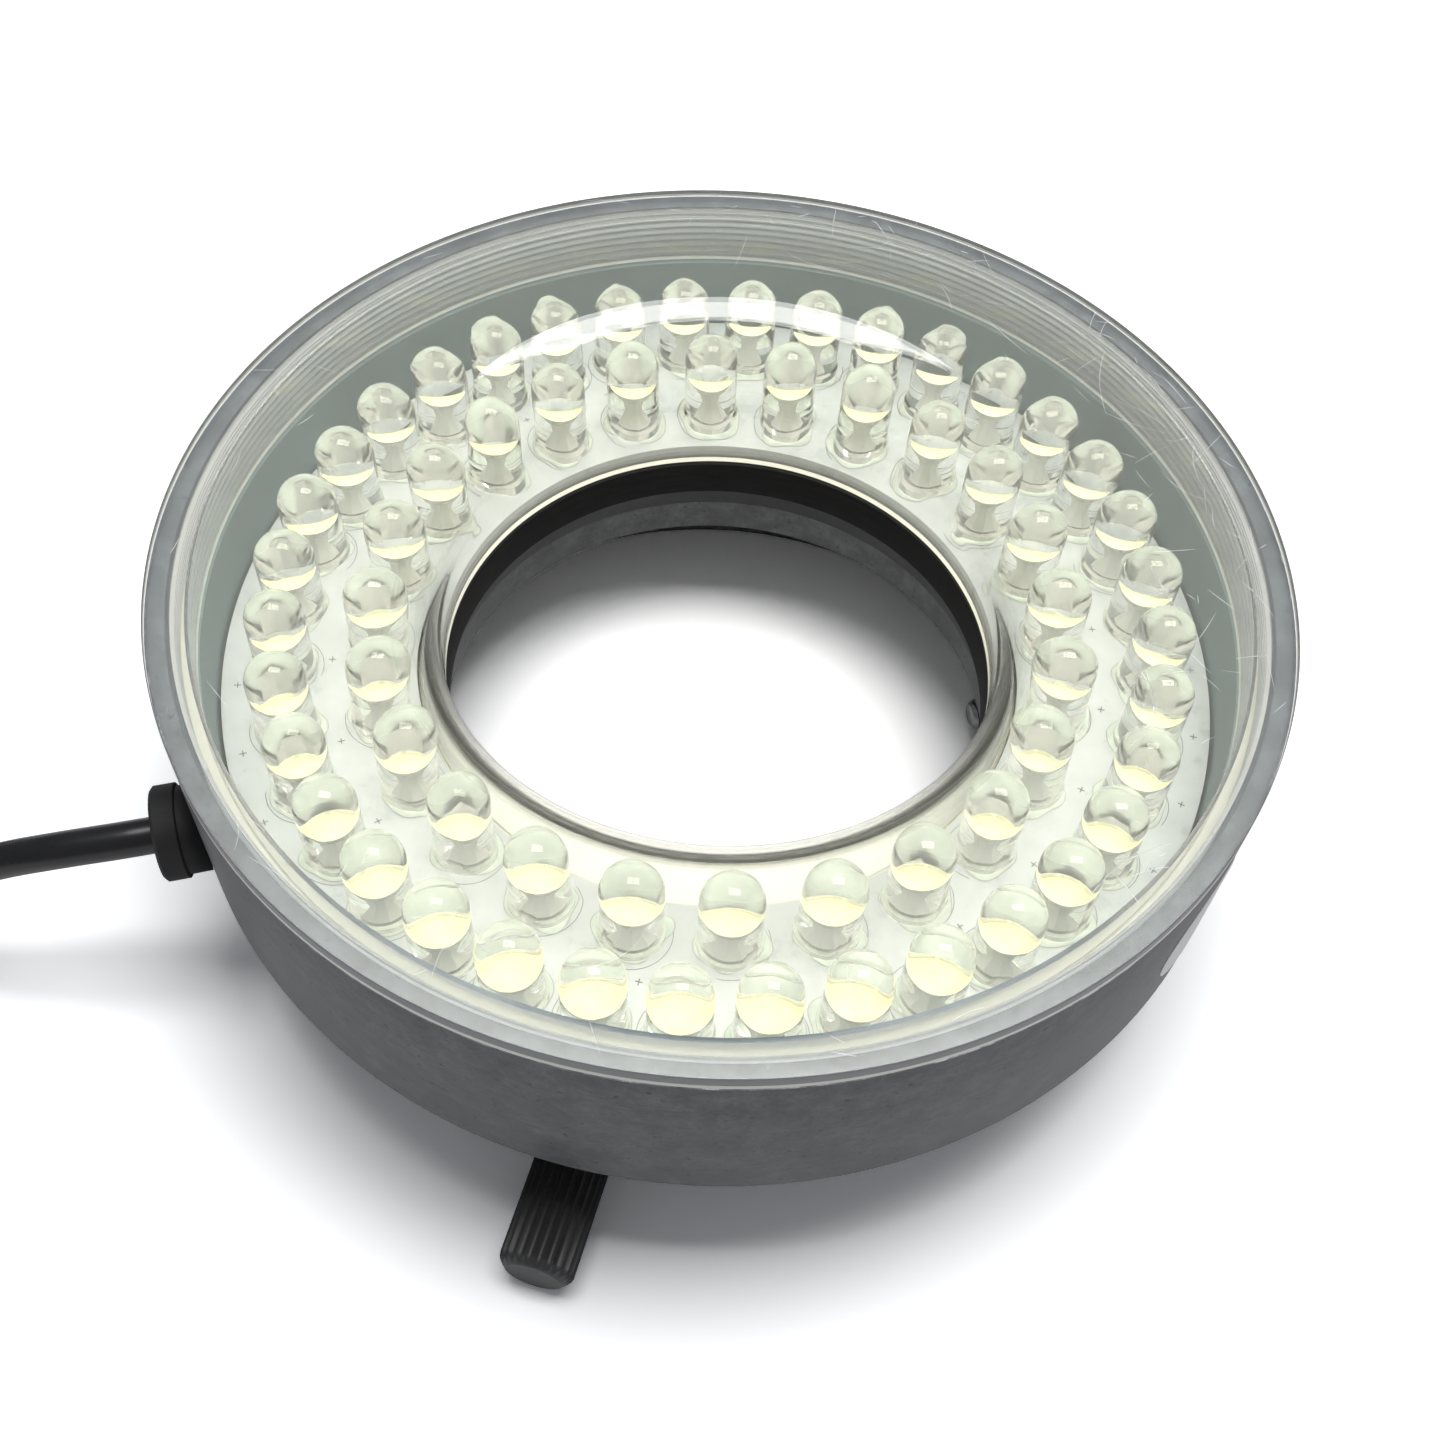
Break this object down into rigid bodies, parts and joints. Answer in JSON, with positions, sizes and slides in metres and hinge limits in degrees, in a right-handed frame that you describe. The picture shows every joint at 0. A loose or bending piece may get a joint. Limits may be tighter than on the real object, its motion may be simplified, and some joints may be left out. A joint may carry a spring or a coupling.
{
  "type": "microscope ring light",
  "caption": "Flat ring light for a microscope: a grey metal ring with a clear cover over rings of LEDs, a clamping collar with thumbscrews, and a cord.",
  "frame": {"origin": "on the ring's axis, in the plane of the mounting collar's end face, which the part rests on", "axes": "+Z along the ring's axis, out of the LED side; the cord leaves towards -X, and the picture looks from -Y"},
  "size_m": [0.1821, 0.099, 0.0339],
  "materials": {
    "anodised_housing": "dark grey satin anodised aluminium, worn bright along the rim",
    "matt_black_sleeve": "matt black",
    "clear_acrylic": "clear polished acrylic, slightly yellowed",
    "white_board": "white solder mask, with clear LEDs",
    "chip_resistor": "black chip",
    "red_insulation": "red vinyl insulation",
    "black_insulation": "black vinyl insulation",
    "black_rubber": "black rubber",
    "black_vinyl": "smooth black vinyl",
    "nickel_plate": "bright nickel plate",
    "white_nylon": "white nylon",
    "screw_steel": "dark steel",
    "black_nylon": "black nylon, fluted"
  },
  "bodies": {
    "ring_light": {"housing": "anodised_housing", "bore_sleeve": "matt_black_sleeve", "clear_cover": "clear_acrylic", "led_board": "white_board", "string_resistor_01": "chip_resistor", "string_resistor_02": "chip_resistor", "string_resistor_03": "chip_resistor", "string_resistor_04": "chip_resistor", "string_resistor_05": "chip_resistor", "string_resistor_06": "chip_resistor", "string_resistor_07": "chip_resistor", "string_resistor_08": "chip_resistor", "string_resistor_09": "chip_resistor", "string_resistor_10": "chip_resistor", "string_resistor_11": "chip_resistor", "string_resistor_12": "chip_resistor", "string_resistor_13": "chip_resistor", "string_resistor_14": "chip_resistor", "string_resistor_15": "chip_resistor", "string_resistor_16": "chip_resistor", "string_resistor_17": "chip_resistor", "string_resistor_18": "chip_resistor", "string_resistor_19": "chip_resistor", "string_resistor_20": "chip_resistor", "red_lead_wire": "red_insulation", "black_lead_wire": "black_insulation", "cable_gland": "black_rubber", "power_cord": "black_vinyl", "cord_coil": "black_vinyl", "coil_tie": "black_vinyl", "plug_grip": "black_vinyl", "plug_barrel": "nickel_plate", "plug_insulator": "white_nylon"},
    "front_stud": {"thumbscrew_stud_front": "screw_steel"},
    "front_knob": {"thumbscrew_knob_front": "black_nylon"},
    "right_stud": {"thumbscrew_stud_right": "screw_steel"},
    "right_knob": {"thumbscrew_knob_right": "black_nylon"},
    "rear_stud": {"thumbscrew_stud_rear": "screw_steel"},
    "rear_knob": {"thumbscrew_knob_rear": "black_nylon"}
  },
  "joints": [
    {"name": "front_screw_travel", "type": "slide", "parent": "ring_light", "child": "front_stud", "axis": [0.225, 0.9744, 0], "range_m": [-0.0065, 0.0036]},
    {"name": "front_screw_turn", "type": "hinge", "parent": "front_stud", "child": "front_knob", "pos_m": [-0.00909, -0.03936, 0.00337], "axis": [0.225, 0.9744, 0], "range_deg": [-4680, 2592]},
    {"name": "right_screw_travel", "type": "slide", "parent": "ring_light", "child": "right_stud", "axis": [-0.9563, -0.2924, 0], "range_m": [-0.0065, 0.0036]},
    {"name": "right_screw_turn", "type": "hinge", "parent": "right_stud", "child": "right_knob", "pos_m": [0.03863, 0.01181, 0.00337], "axis": [-0.9563, -0.2924, 0], "range_deg": [-4680, 2592]},
    {"name": "rear_screw_travel", "type": "slide", "parent": "ring_light", "child": "rear_stud", "axis": [0.7314, -0.682, 0], "range_m": [-0.0005, 0.0096]},
    {"name": "rear_screw_turn", "type": "hinge", "parent": "rear_stud", "child": "rear_knob", "pos_m": [-0.03393, 0.03164, 0.00337], "axis": [0.7314, -0.682, 0], "range_deg": [-360, 6912]}
  ],
  "couplings": [
    {"joint": "front_screw_turn", "follows": "front_screw_travel", "rad_per_m": 12566},
    {"joint": "right_screw_turn", "follows": "right_screw_travel", "rad_per_m": 12566},
    {"joint": "rear_screw_turn", "follows": "rear_screw_travel", "rad_per_m": 12566}
  ]
}
